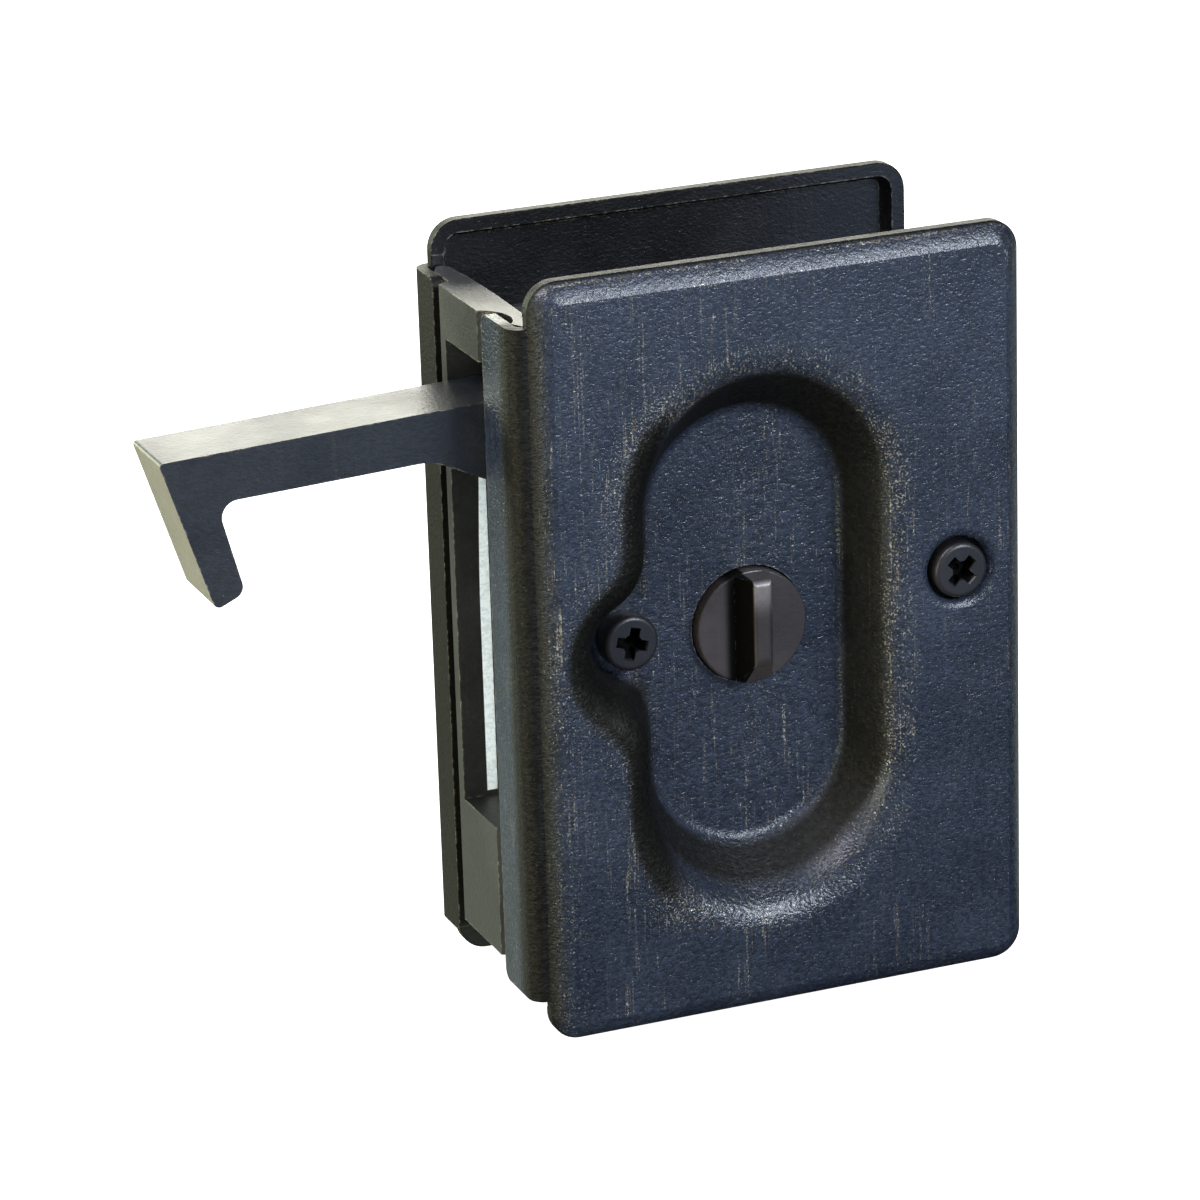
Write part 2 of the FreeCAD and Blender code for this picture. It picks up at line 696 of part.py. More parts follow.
def grip_bar(disc_y):
    # the finger bar: wedge-shaped in section, square at its top end, sloped at its lower end
    foot = bar_foot_thickness / 2
    crest = bar_thickness / 2
    top = disc_y - bar_height
    root = disc_y + turn_edge * 2
    bar = post_outline([(turn_x - foot, root, 0), (turn_x - foot, disc_y, 0),
                        (turn_x - crest, top, 0.65), (turn_x + crest, top, 0.65),
                        (turn_x + foot, disc_y, 0), (turn_x + foot, root, 0)],
                       turn_z - turn_radius, turn_z + turn_radius)
    reach = turn_radius - turn_edge
    side = rounded_edges([(root, turn_z - reach, 0), (disc_y - 0.3, turn_z - reach, 0),
                          (top, turn_z - reach + bar_end_slope, 1.8),
                          (top, turn_z + reach, 0.8), (root, turn_z + reach, 0)],
                         lambda u, v: V(turn_x - turn_radius, u, v))
    envelope = Part.Face(Part.Wire(side)).extrude(V(turn_radius * 2, 0, 0))
    round_end = rod(turn_x, turn_z, turn_radius - turn_edge / 2, top - 1, root)
    return bar.common(envelope).common(round_end)


def flat_bar_slot(y0, y1):
    half_width = flat_bar_width / 2 + sliding_gap
    half_thickness = flat_bar_thickness / 2 + sliding_gap
    return block(turn_x - half_thickness, turn_x + half_thickness, y0, y1,
                 turn_z - half_width, turn_z + half_width)


def coin_turn():
    # the emergency turn outside: a slotted disc that a coin fits, carrying the flat bar
    floor = door_gap - cup_floor_y + running_fit
    inner = door_gap - cup_back_y - running_fit
    face = floor + coin_turn_proud
    turn = rod(turn_x, turn_z, coin_turn_radius, floor, face)
    turn = turn.makeFillet(0.35, edges_at_y(turn, face))
    turn = turn.fuse(rod(turn_x, turn_z, turn_hole_radius - running_fit, inner, floor))
    turn = turn.fuse(rod(turn_x, turn_z, spindle_rear_radius, inner - coin_ring_thickness, inner))
    turn = turn.cut(block(turn_x - coin_slot_width / 2, turn_x + coin_slot_width / 2,
                          face - coin_slot_depth, face + 1,
                          turn_z - coin_turn_radius, turn_z + coin_turn_radius))
    return turn.cut(flat_bar_shape(inner - coin_ring_thickness - 1, inner + 0.6))


def coin_turn_ring():
    back = door_gap - cup_back_y - running_fit
    return tube(turn_x, turn_z, coin_ring_radius, spindle_rear_radius,
                back - coin_ring_thickness, back)


def flat_bar_shape(y0, y1):
    return block(turn_x - flat_bar_thickness / 2, turn_x + flat_bar_thickness / 2, y0, y1,
                 turn_z - flat_bar_width / 2, turn_z + flat_bar_width / 2)


def flat_bar():
    end = door_gap - cup_back_y - running_fit + 0.6
    return flat_bar_shape(end - flat_bar_length, end)


def plate_screw(x, z, seat_y, head_height, length, turn_angle):
    # a round-shouldered machine screw with a cross recess that narrows as it goes in
    front = seat_y - head_height
    head = rod(x, z, screw_head_radius, front, seat_y)
    head = head.makeFillet(screw_head_round, edges_at_y(head, front))
    tip = seat_y + length
    shank = rod(x, z, screw_shank_radius, seat_y, tip)
    shank = shank.makeChamfer(0.5, edges_at_y(shank, tip))
    cross = driver_arm(x, z, front).fuse(driver_arm(x, z, front, 90))
    cross = cross.fuse(Part.makeCone(driver_cross_width * 0.95, 0.2, driver_cross_depth * 1.3,
                                     V(x, front, z), V(0, 1, 0)))
    cross.rotate(V(x, 0, z), V(0, 1, 0), turn_angle)
    return head.fuse(shank).cut(cross)


def driver_arm(x, z, front, angle=0):
    # one bar of the cross, its ends sloping in towards the bottom
    half = driver_cross_span / 2
    arm = Part.makePolygon([V(x - half, front - 0.01, z), V(x + half, front - 0.01, z),
                            V(x + half * 0.5, front + driver_cross_depth, z),
                            V(x - half * 0.5, front + driver_cross_depth, z),
                            V(x - half, front - 0.01, z)])
    arm = Part.Face(arm).extrude(V(0, 0, driver_cross_width))
    arm.translate(V(0, 0, -driver_cross_width / 2))
    arm.rotate(V(x, 0, z), V(0, 1, 0), angle)
    return arm


def left_screw():
    return plate_screw(left_screw_x, left_screw_z, cup_floor_y, left_head_height,
                       left_screw_length, 15)


def right_screw():
    return plate_screw(right_screw_x, right_screw_z, face_y + pocket_depth,
                       right_head_height, right_screw_length, 45)


def screw_post(x, z, y0, y1):
    post = rod(x, z, post_radius, y0, y1)
    foot = rod(x, z, post_foot_radius, y1 - post_foot_height, y1)
    return post.fuse(foot).cut(rod(x, z, screw_shank_radius + running_fit, y0 - 1, y1 + 1))


def screw_posts():
    left = screw_post(left_screw_x, left_screw_z, cup_back_y + post_gap,
                      door_gap - cup_back_y)
    right = screw_post(right_screw_x, right_screw_z, right_post_start, door_gap + crown)
    return Part.makeCompound([left, right])


PIECES = [front_plate, edge_channel, front_cheek, rear_cheek, cheek_rivets, cheek_spacer,
          lever_pivot_pin, pivot_washers, stop_pin, friction_washer, left_screw, right_screw,
          hook_lever, tail_pin, drive_link, thumb_turn, crank, crank_pin,
          back_plate, screw_posts, coin_turn, coin_turn_ring, flat_bar]


def main():
    os.makedirs("parts", exist_ok=True)
    for make in PIECES:
        shape = make()
        valid = shape.isValid()
        shape.exportStep("parts/" + make.__name__ + ".step")
        print(make.__name__, "solids", len(shape.Solids), "valid", valid,
              "volume %.1f" % shape.Volume)


main()
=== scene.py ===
import bpy
import json
import math
from mathutils import Matrix, Vector


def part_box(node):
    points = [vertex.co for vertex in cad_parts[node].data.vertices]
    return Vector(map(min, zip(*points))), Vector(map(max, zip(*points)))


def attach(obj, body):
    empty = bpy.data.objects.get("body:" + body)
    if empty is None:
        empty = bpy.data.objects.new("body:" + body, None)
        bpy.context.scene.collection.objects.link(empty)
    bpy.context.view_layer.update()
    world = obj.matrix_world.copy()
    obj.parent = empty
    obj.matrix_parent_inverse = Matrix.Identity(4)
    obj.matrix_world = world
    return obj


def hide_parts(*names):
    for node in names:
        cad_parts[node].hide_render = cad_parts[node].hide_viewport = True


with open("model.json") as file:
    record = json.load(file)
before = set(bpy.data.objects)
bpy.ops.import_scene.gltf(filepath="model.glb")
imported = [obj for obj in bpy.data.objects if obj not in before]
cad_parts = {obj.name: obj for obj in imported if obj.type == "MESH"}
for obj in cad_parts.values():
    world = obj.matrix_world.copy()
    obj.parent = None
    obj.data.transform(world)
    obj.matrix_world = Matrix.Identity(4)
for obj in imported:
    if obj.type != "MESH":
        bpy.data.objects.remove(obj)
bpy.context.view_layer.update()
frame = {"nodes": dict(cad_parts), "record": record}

# Metres, in the CAD frame: -Y faces the viewer of the front plate, the hook leaves at -X.


def stageNote(text):
    print("scene:", text)


# Camera, from a perspective fit of the photograph's plate edges; angles in radians, lens and
# sensor in millimetres
cameraSet = {"yaw": -0.3777, "pitch": 0.3342, "roll": -0.0319, "distance": 0.54304,
             "aim": (-0.0180912, 0.0041137), "rimPlane": -0.0012, "lens": 156.382,
             "sensor": 36, "clipStart": 0.01}


def addCamera():
    a, e, roll = cameraSet["yaw"], cameraSet["pitch"], cameraSet["roll"]
    back = Vector((math.sin(a) * math.cos(e), -math.cos(a) * math.cos(e), math.sin(e)))
    right = Vector((math.cos(a), math.sin(a), 0))
    up = right.cross(-back)
    place = right * cameraSet["aim"][0] + up * cameraSet["aim"][1]
    place = place + back * cameraSet["distance"] + Vector((0, cameraSet["rimPlane"], 0))
    level = right * math.cos(roll) + up * math.sin(roll)
    plumb = up * math.cos(roll) - right * math.sin(roll)
    turn = Matrix((level, plumb, back)).transposed().to_4x4()
    data = bpy.data.cameras.new("photoCamera")
    data.lens = cameraSet["lens"]
    data.sensor_width = cameraSet["sensor"]
    data.clip_start = cameraSet["clipStart"]
    camera = bpy.data.objects.new("photoCamera", data)
    camera.matrix_world = Matrix.Translation(place) @ turn
    bpy.context.collection.objects.link(camera)
    bpy.context.scene.camera = camera
    stageNote("camera at %.3f m" % cameraSet["distance"])


# Material helpers: every pattern is read from Object coordinates, in metres

class Nodes:
    def __init__(self, name):
        self.material = bpy.data.materials.new(name)
        self.material.use_nodes = True
        self.tree = self.material.node_tree
        self.shader = self.tree.nodes["Principled BSDF"]
        self.place = self.add("ShaderNodeTexCoord").outputs["Object"]

    def add(self, kind, **settings):
        node = self.tree.nodes.new(kind)
        for key, value in settings.items():
            setattr(node, key, value)
        return node

    def feed(self, socket, value):
        if isinstance(value, bpy.types.NodeSocket):
            self.tree.links.new(value, socket)
        elif isinstance(value, tuple) and len(value) == 3 and socket.type == "RGBA":
            socket.default_value = (*value, 1)
        else:
            socket.default_value = value

    def math(self, operation, a, b=0.0, c=0.0):
        node = self.add("ShaderNodeMath", operation=operation)
        for socket, value in zip(node.inputs, (a, b, c)):
            self.feed(socket, value)
        return node.outputs[0]

    def split(self, vector=None):
        node = self.add("ShaderNodeSeparateXYZ")
        self.feed(node.inputs[0], vector or self.place)
        return node.outputs

    def stretched(self, scale):
        node = self.add("ShaderNodeVectorMath", operation="MULTIPLY")
        self.feed(node.inputs[0], self.place)
        node.inputs[1].default_value = scale
        return node.outputs[0]

    def noise(self, scale, detail, rough, vector=None):
        node = self.add("ShaderNodeTexNoise")
        self.feed(node.inputs["Vector"], vector or self.place)
        node.inputs["Scale"].default_value = scale
        node.inputs["Detail"].default_value = detail
        node.inputs["Roughness"].default_value = rough
        return node.outputs["Fac"]

    def ramp(self, value, low, high, start=0.0, end=1.0):
        # soft step from start at low to end at high
        node = self.add("ShaderNodeMapRange", clamp=True, interpolation_type="SMOOTHSTEP")
        for key, item in (("Value", value), ("From Min", low), ("From Max", high),
                          ("To Min", start), ("To Max", end)):
            self.feed(node.inputs[key], item)
        return node.outputs[0]

    def mix(self, share, a, b):
        node = self.add("ShaderNodeMix", data_type="RGBA")
        self.feed(node.inputs["Factor"], share)
        self.feed(node.inputs["A"], a)
        self.feed(node.inputs["B"], b)
        return node.outputs["Result"]

    def scaled(self, colour, factor):
        node = self.add("ShaderNodeVectorMath", operation="SCALE")
        self.feed(node.inputs[0], colour)
        self.feed(node.inputs["Scale"], factor)
        return node.outputs[0]

    def bump(self, height, strength, distance):
        node = self.add("ShaderNodeBump")
        node.inputs["Strength"].default_value = strength
        node.inputs["Distance"].default_value = distance
        self.feed(node.inputs["Height"], height)
        return node.outputs[0]

    def centred(self, x, z, centre):
        return self.math("SUBTRACT", x, centre[0]), self.math("SUBTRACT", z, centre[1])

    def length(self, a, b):
        return self.math("SQRT", self.math("ADD", self.math("MULTIPLY", a, a),
                                           self.math("MULTIPLY", b, b)))

    def roundedGap(self, halfX, halfZ, radius, centre):
        # distance from a rounded rectangle in X and Z, negative inside
        x, y, z = self.split()
        x, z = self.centred(x, z, centre)
        gapX = self.math("SUBTRACT", self.math("ABSOLUTE", x), halfX - radius)
        gapZ = self.math("SUBTRACT", self.math("ABSOLUTE", z), halfZ - radius)
        outside = self.length(self.math("MAXIMUM", gapX, 0.0), self.math("MAXIMUM", gapZ, 0.0))
        inside = self.math("MINIMUM", self.math("MAXIMUM", gapX, gapZ), 0.0)
        return self.math("SUBTRACT", self.math("ADD", outside, inside), radius)

    def roundGap(self, radius, centre):
        x, y, z = self.split()
        return self.math("SUBTRACT", self.length(*self.centred(x, z, centre)), radius)

    def band(self, value, middle, half, soft):
        # 1 near the middle value, fading out between half and half + soft
        away = self.math("ABSOLUTE", self.math("SUBTRACT", value, middle))
        return self.ramp(away, half, half + soft, 1.0, 0.0)


def srgb(*levels):
    return tuple(((v / 255 + 0.055) / 1.055) ** 2.4 if v > 10 else v / 255 / 12.92
                 for v in levels)


# Rubbed aged bronze: a dark lacquered ground with grain, worn to specks along lines and rims.
# A noise is scale, detail and roughness, a Stretch scales its coordinates, and a Range is
# where its ramp starts and ends
bronzeSet = {"gloss": 1.55, "worn": srgb(128, 116, 92), "fleck": srgb(172, 170, 160),
             "deep": 0.66, "cloud": (85, 4, 0.6), "cloudRange": (0.3, 0.72),
             "roughRange": (0.3, 0.7), "dots": (4700, 1, 0.6),
             "dotRange": (0.78, 0.92, 0.0, 0.62), "recessAndShadeDots": (0.2, 0.9, 1.0, 0.25),
             "streaks": (1, 3, 0.6), "streakStretch": (3200, 3200, 110),
             "streakRange": (0.56, 0.66), "streakTint": 0.3,
             "patchStretch": (110, 110, 45), "patchRange": (0.4, 0.6),
             "tone": (1800, 1, 0.5), "toneRange": (0.45, 0.6), "wornMetal": (0.0, 0.9, 0.0, 0.7),
             "fine": (1, 2, 0.55), "fineStretch": (2700, 2700, 3900),
             "coarse": (1, 2, 0.5), "coarseStretch": (1400, 1400, 2000), "coarseShare": 0.5,
             "grainRange": (0.4, 0.6), "grainBump": 0.9, "grainDepth": 0.00021,
             "grainShade": 0.3, "dull": 0.3}


def bronze(name, look):
    n = Nodes(name)
    b = bronzeSet
    ground = look["ground"]
    deep = tuple(c * b["deep"] for c in ground)
    cloud = n.noise(*b["cloud"])
    dots = n.noise(*b["dots"])
    streaks = n.noise(*b["streaks"], n.stretched(b["streakStretch"]))
    patches = n.noise(*b["streaks"], n.stretched(b["patchStretch"]))
    line = n.math("MULTIPLY", n.ramp(streaks, *b["streakRange"]),
                  n.ramp(patches, *b["patchRange"]))
    density = n.math("MULTIPLY_ADD", line, look["streaks"], look["specks"])
    if look.get("wear"):
        density = n.math("ADD", density, look["wear"](n))
    speck = n.ramp(n.math("ADD", dots, density), *b["dotRange"])
    arris = edgeWear(n, look["edge"])
    if look.get("within"):
        arris = n.math("MULTIPLY", arris, look["within"](n))
    base = n.mix(n.ramp(cloud, *b["cloudRange"]), deep, ground)
    base = n.mix(n.math("MULTIPLY", line, look["streaks"] * b["streakTint"]), base, b["worn"])
    if look.get("rubbedAndLit"):
        base = n.mix(look["rubbedAndLit"](n), base, look["rubbedAndLitTone"])
    rough = n.ramp(cloud, *b["roughRange"], *look["rough"])
    # patina and painted shade: the look's mask takes its own tone, is rougher and has fewer specks;
    # as dark metal it also loses most of its reflection
    recessAndShadeMask = look["recess"](n) if look.get("recess") else None
    if recessAndShadeMask:
        rough = n.math("MULTIPLY_ADD", recessAndShadeMask, b["dull"], rough)
        base = n.mix(recessAndShadeMask, base, look["recessAndShadeTone"])
        speck = n.math("MULTIPLY", speck, n.ramp(recessAndShadeMask, *b["recessAndShadeDots"]))
    fine = n.noise(*b["fine"], n.stretched(b["fineStretch"]))
    coarse = n.noise(*b["coarse"], n.stretched(b["coarseStretch"]))
    grain = n.math("MULTIPLY_ADD", fine, 1 - b["coarseShare"],
                   n.math("MULTIPLY", coarse, b["coarseShare"]))
    shade = look["grain"] * b["grainShade"]
    base = n.scaled(base, n.ramp(grain, *b["grainRange"], 1 - shade, 1 + shade))
    rubbed = n.math("MAXIMUM", speck, arris)
    tone = n.mix(n.ramp(n.noise(*b["tone"]), *b["toneRange"]), b["worn"], b["fleck"])
    n.feed(n.shader.inputs["Base Color"], n.mix(rubbed, base, tone))
    metal = n.ramp(rubbed, *b["wornMetal"])
    if recessAndShadeMask:
        metal = n.math("MAXIMUM", metal, n.math("MULTIPLY", recessAndShadeMask, look["recessAndShadeMetal"]))
    n.feed(n.shader.inputs["Metallic"], metal)
    n.feed(n.shader.inputs["Roughness"], rough)
    bumps = n.bump(grain, b["grainBump"], b["grainDepth"] * look["grain"])
    n.feed(n.shader.inputs["Normal"], bumps)
    n.shader.inputs["IOR"].default_value = b["gloss"]
    return n.material


# Arris wear: bend is the cosine between the two normals, from a flat face to a worn arris
edgeSet = {"samples": 6, "bend": (0.99, 0.88), "breaks": (900, 4, 0.75), "breakWidth": 0.16}


def edgeWear(n, look):
    # worn along arrises, found by comparing a rounded normal with the true one
    soft = n.add("ShaderNodeBevel", samples=edgeSet["samples"])
    soft.inputs["Radius"].default_value = look["reach"]
    true = n.add("ShaderNodeNewGeometry").outputs["Normal"]
    dot = n.add("ShaderNodeVectorMath", operation="DOT_PRODUCT")
    n.feed(dot.inputs[0], soft.outputs[0])
    n.feed(dot.inputs[1], true)
    arris = n.ramp(dot.outputs["Value"], *edgeSet["bend"])
    broken = n.ramp(n.noise(*edgeSet["breaks"]), look["broken"],
                    look["broken"] + edgeSet["breakWidth"])
    return n.math("MULTIPLY", n.math("MULTIPLY", arris, broken), look["share"])


# Plates: the outlines that wear, patina and painted shade follow. rim and mouth are half width,
# half height, corner radius and centre; lobe is radius and centre
plateSet = {"rim": (0.02735, 0.04125, 0.0032, (0.0009, 0)),
            "mouth": (0.01395, 0.0301, 0.01394, (-0.0012, -0.0005)),
            "lobe": (0.00675, (-0.0148, 0.0003)), "lobeBlend": 0.006,
            "earlyLip": (-0.0155, -0.0085, 0.0022, 0.0), "pocketRadius": 0.0035,
            "pocket": tuple((a + b) / 2 for a, b in zip(*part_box("right_screw")))[::2]}


def cupGap(n):
    # distance from the cup's mouth, moved outwards on the left so that the wear ring and the
    # painted shade there reach further out across the lip
    mouth, lobe = n.roundedGap(*plateSet["mouth"]), n.roundGap(*plateSet["lobe"])
    early = n.ramp(n.split()[0], *plateSet["earlyLip"])
    return n.math("SUBTRACT", n.math("SMOOTH_MIN", mouth, lobe, plateSet["lobeBlend"]), early)


# Dust: a worn ring round the cup's mouth, lines along the rim's bevel, a column on the cup's
# floor and a little along the fold. The line on the top edge's outer arris is partly wear and
# partly a painted highlight of the light from behind
wearAndSheenSet = {"topOnly": (0.0355, 0.038, 0.22, 1.0), "faceOnly": (-0.0262, -0.0245),
           "bevel": (-0.0021, 0.00005, 0.0004), "bevelWear": 0.1,
           "outer": (-0.0004, 0.00005, 0.0002), "outerWearAndSheen": 0.24,
           "lineNoise": (160, 3, 0.6), "lineBreaks": (0.35, 0.6, 0.3, 1.0),
           "ring": (0.0006, 0.0005, 0.0028), "ringWear": 0.15,
           "ringNoise": (65, 3, 0.55), "ringBreaks": (0.35, 0.65, 0.3, 1.0),
           "foldFace": (-0.024, -0.021, 1.0, 0.0), "foldSide": (-0.0264, -0.025),
           "foldWear": (0.03, -0.01, 0.0, 0.05),
           "column": (0.0005, 0.001, 0.0045), "columnWear": 0.045, "floorOnly": (0.004, 0.0044),
           "flangeOnly": (0.0035, 0.005)}


def plateWearAndSheen(n):
    w = wearAndSheenSet
    x, y, z = n.split()
    rim = n.roundedGap(*plateSet["rim"])
    topOnly = n.ramp(z, *w["topOnly"])
    bevel = n.math("MULTIPLY", n.band(rim, *w["bevel"]), topOnly)
    # painted highlight mixed with wear: a pale line along the top edge's outer arris
    outer = n.math("MULTIPLY", n.band(rim, *w["outer"]), topOnly)
    lines = n.math("MULTIPLY_ADD", bevel, w["bevelWear"], n.math("MULTIPLY", outer, w["outerWearAndSheen"]))
    lines = n.math("MULTIPLY", lines, n.ramp(n.noise(*w["lineNoise"]), *w["lineBreaks"]))
    uneven = n.ramp(n.noise(*w["ringNoise"]), *w["ringBreaks"])
    ring = n.math("MULTIPLY", n.band(cupGap(n), *w["ring"]), uneven)
    ring = n.math("MULTIPLY", ring, w["ringWear"])
    fold = n.math("MULTIPLY", n.ramp(x, *w["foldFace"]), n.ramp(x, *w["foldSide"]))
    dust = n.math("MULTIPLY_ADD", fold, n.ramp(z, *w["foldWear"]), ring)
    column = n.math("MULTIPLY", n.band(x, *w["column"]), n.ramp(y, *w["floorOnly"]))
    dust = n.math("MULTIPLY_ADD", column, w["columnWear"], dust)
    return n.math("MULTIPLY_ADD", lines, n.ramp(x, *w["faceOnly"]), dust)


def flangeOnly(n):
    return n.ramp(n.split()[1], *wearAndSheenSet["flangeOnly"])


# Patina and painted shade: into and out are the depths between which the cup's walls are dark,
# lipLow lets the lower lip start deeper, and the left names paint shade on the lobe's side out
# to its lip
patinaAndShadeSet = {"lipLow": (-0.024, -0.014, 0.0018, 0.0), "into": (-0.00255, -0.00095),
             "out": (0.0032, 0.0044, 1.0, 0.0), "inside": (0.0004, 0.002, 1.0, 0.0),
             "wallShare": 0.86, "leftPart": (-0.0135, -0.01, 1.0, 0.0),
             "leftLip": (-0.0006, 0.0008, 1.0, 0.0), "leftFloor": (-0.005, -0.0038),
             "rimEdge": (-0.00025, -0.0001, 0.0, 0.9), "cutOnly": (-0.0272, -0.0262),
             "fold": (-0.0268, -0.0245, 0.9, 0.0), "foldDepth": (0.001, 0.0032, 1.0, 0.0),
             "pocketEdge": (-0.0002, 0.0, 0.9, 0.0)}


def cupWalls(n):
    # the cup's steep walls are darkened between the face and the floor, partly patina and partly
    # painted shade
    p = patinaAndShadeSet
    x, depth, z = n.split()
    gap = cupGap(n)
    into = n.ramp(n.math("SUBTRACT", depth, n.ramp(z, *p["lipLow"])), *p["into"])
    walls = n.math("MULTIPLY", into, n.ramp(depth, *p["out"]))
    walls = n.math("MULTIPLY", walls, n.ramp(gap, *p["inside"]))
    walls = n.math("MULTIPLY", walls, p["wallShare"])
    # painted shade: the lobe's left side, dark out across its lip
    leftSide = n.math("MULTIPLY", n.ramp(x, *p["leftPart"]), n.ramp(gap, *p["leftLip"]))
    leftSide = n.math("MULTIPLY", leftSide, n.ramp(gap, *p["leftFloor"]))
    return n.math("MAXIMUM", walls, leftSide)


def rimEdge(n):
    # the cut edge of the sheet, all round
    return n.ramp(n.roundedGap(*plateSet["rim"]), *patinaAndShadeSet["rimEdge"])


def plateShade(n):
    # dark patina and painted shade in the cup, painted shade round the right screw and along the
    # flange's fold, and the dark cut edge
    p = patinaAndShadeSet
    x, depth, z = n.split()
    # painted shade along the flange's fold
    fold = n.math("MULTIPLY", n.ramp(x, *p["fold"]), n.ramp(depth, *p["foldDepth"]))
    cut = n.math("MULTIPLY", rimEdge(n), n.ramp(x, *p["cutOnly"]))
    # painted shade in a ring round the right screw's pocket
    pocket = n.roundGap(plateSet["pocketRadius"], plateSet["pocket"])
    recessAndShadeMask = n.math("MAXIMUM", cupWalls(n), n.ramp(pocket, *p["pocketEdge"]))
    return n.math("MAXIMUM", recessAndShadeMask, n.math("MAXIMUM", cut, fold))


plateLook = {"ground": srgb(32, 39, 52), "streaks": 0.17, "specks": 0.105, "wear": plateWearAndSheen,
             "recess": plateShade, "recessAndShadeTone": srgb(31, 30, 26), "recessAndShadeMetal": 0.85,
             "grain": 1.0, "rough": (0.27, 0.35), "within": flangeOnly,
             "edge": {"reach": 0.0003, "broken": 0.44, "share": 0.5}}
# the back plate is a darker copy of the plate's bronze, painted shade for its inside between the
# plates
backLook = dict(plateLook, streaks=0.05, specks=0.04, recess=rimEdge, wear=None,
                ground=srgb(19, 19, 22), grain=0.5)

# Channel: the finish only reaches so far into its window; behind that the zinc is bare, painted
# brighter and bluer than the zinc parts as a painted reflection of the white surround
windowSet = {"reach": (0.0, 0.0245, -0.0256, -0.02505), "bottom": (-0.0196, -0.0195),
             "top": (0.0244, 0.0245, 1.0, 0.0), "wall": (0.01765, 0.0001, 0.00005)}


def windowInside(n):
    x, y, z = n.split()
    deep = n.math("GREATER_THAN", x, n.ramp(z, *windowSet["reach"]))
    tall = n.math("MULTIPLY", n.ramp(z, *windowSet["bottom"]), n.ramp(z, *windowSet["top"]))
    return n.math("MULTIPLY", n.math("MULTIPLY", deep, tall), n.band(y, *windowSet["wall"]))


channelLook = {"ground": srgb(42, 43, 42), "streaks": 0.1, "specks": 0.02,
               "recess": windowInside, "recessAndShadeTone": srgb(236, 248, 254), "recessAndShadeMetal": 0.0,
               "grain": 0.35, "rough": (0.4, 0.5),
               "edge": {"reach": 0.0003, "broken": 0.46, "share": 0.45}}

# Lever: its outer end face, facing -X, is painted lighter: partly rubbed by the strike, partly
# painted light from the lamps on the left
endFaceSet = {"facing": (-0.8, -0.93), "end": (-0.054, -0.0545)}


def endFaceRubbedAndLit(n):
    across = n.split(n.add("ShaderNodeTexCoord").outputs["Normal"])[0]
    return n.math("MULTIPLY", n.ramp(across, *endFaceSet["facing"]),
                  n.ramp(n.split()[0], *endFaceSet["end"]))


leverLook = {"ground": srgb(31, 34, 40), "streaks": 0.08, "specks": 0.02,
             "rubbedAndLit": endFaceRubbedAndLit, "rubbedAndLitTone": srgb(104, 102, 92),
             "grain": 0.35, "rough": (0.36, 0.46),
             "edge": {"reach": 0.0003, "broken": 0.48, "share": 0.45}}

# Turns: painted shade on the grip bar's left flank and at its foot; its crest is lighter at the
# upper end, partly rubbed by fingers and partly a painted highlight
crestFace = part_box("thumb_turn")[0][1] + 0.0001
turnSet = {"flankFoot": (-0.00395, -0.00293), "flankEdge": (-0.00165, -0.00145, 1.0, 0.0),
           "crest": (-0.00055, 0.001, 0.0001),
           "crestTop": (crestFace, crestFace + 0.0006, 1.0, 0.0),
           "crestLow": (-0.001, 0.0036, 0.3, 0.0), "crestHigh": (0.0012, 0.0046, 0.05, 0.8)}


def onCrest(n):
    x, y, z = n.split()
    return n.math("MULTIPLY", n.band(x, *turnSet["crest"]), n.ramp(y, *turnSet["crestTop"]))


def flankShade(n):
    # painted shade on the left flank, in the corner at its foot and low on the crest
    x, y, z = n.split()
    flank = n.math("MULTIPLY", n.ramp(x, *turnSet["flankFoot"]), n.ramp(x, *turnSet["flankEdge"]))
    low = n.math("MULTIPLY", onCrest(n), n.ramp(z, *turnSet["crestLow"]))
    return n.math("MAXIMUM", flank, low)


def crestRubbedAndLit(n):
    return n.math("MULTIPLY", onCrest(n), n.ramp(n.split()[2], *turnSet["crestHigh"]))


coinLook = {"ground": srgb(52, 46, 46), "streaks": 0.12, "specks": 0.02, "grain": 0.2,
            "rough": (0.32, 0.42), "edge": {"reach": 0.0002, "broken": 0.5, "share": 0.4}}
turnLook = dict(coinLook, recess=flankShade, recessAndShadeTone=srgb(14, 13, 12), recessAndShadeMetal=0.85,
                rubbedAndLit=crestRubbedAndLit, rubbedAndLitTone=srgb(96, 92, 92))

# Screws: blackened, with painted shade in the cross recess
screwSet = {"crossDepth": (0.0001, 0.00035), "crossRadius": 0.0021,
            "crossEdge": (0.0, 0.0001, 1.0, 0.0)}
screwLook = {"ground": srgb(27, 26, 29), "streaks": 0.0, "specks": 0.0, "grain": 0.12,
             "recessAndShadeTone": (0.0012, 0.0012, 0.0014), "recessAndShadeMetal": 0.85, "rough": (0.34, 0.44),
             "edge": {"reach": 0.00015, "broken": 0.6, "share": 0.2}}


def screwFinish(name):
    low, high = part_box(name)
    centre = ((low[0] + high[0]) / 2, (low[2] + high[2]) / 2)

    def crossRecessShade(n):
        start, end = screwSet["crossDepth"]
        depth = n.ramp(n.split()[1], low[1] + start, low[1] + end)
        cross = n.roundGap(screwSet["crossRadius"], centre)
        return n.math("MULTIPLY", depth, n.ramp(cross, *screwSet["crossEdge"]))

    return bronze(name + "Bronze", dict(screwLook, recess=crossRecessShade))


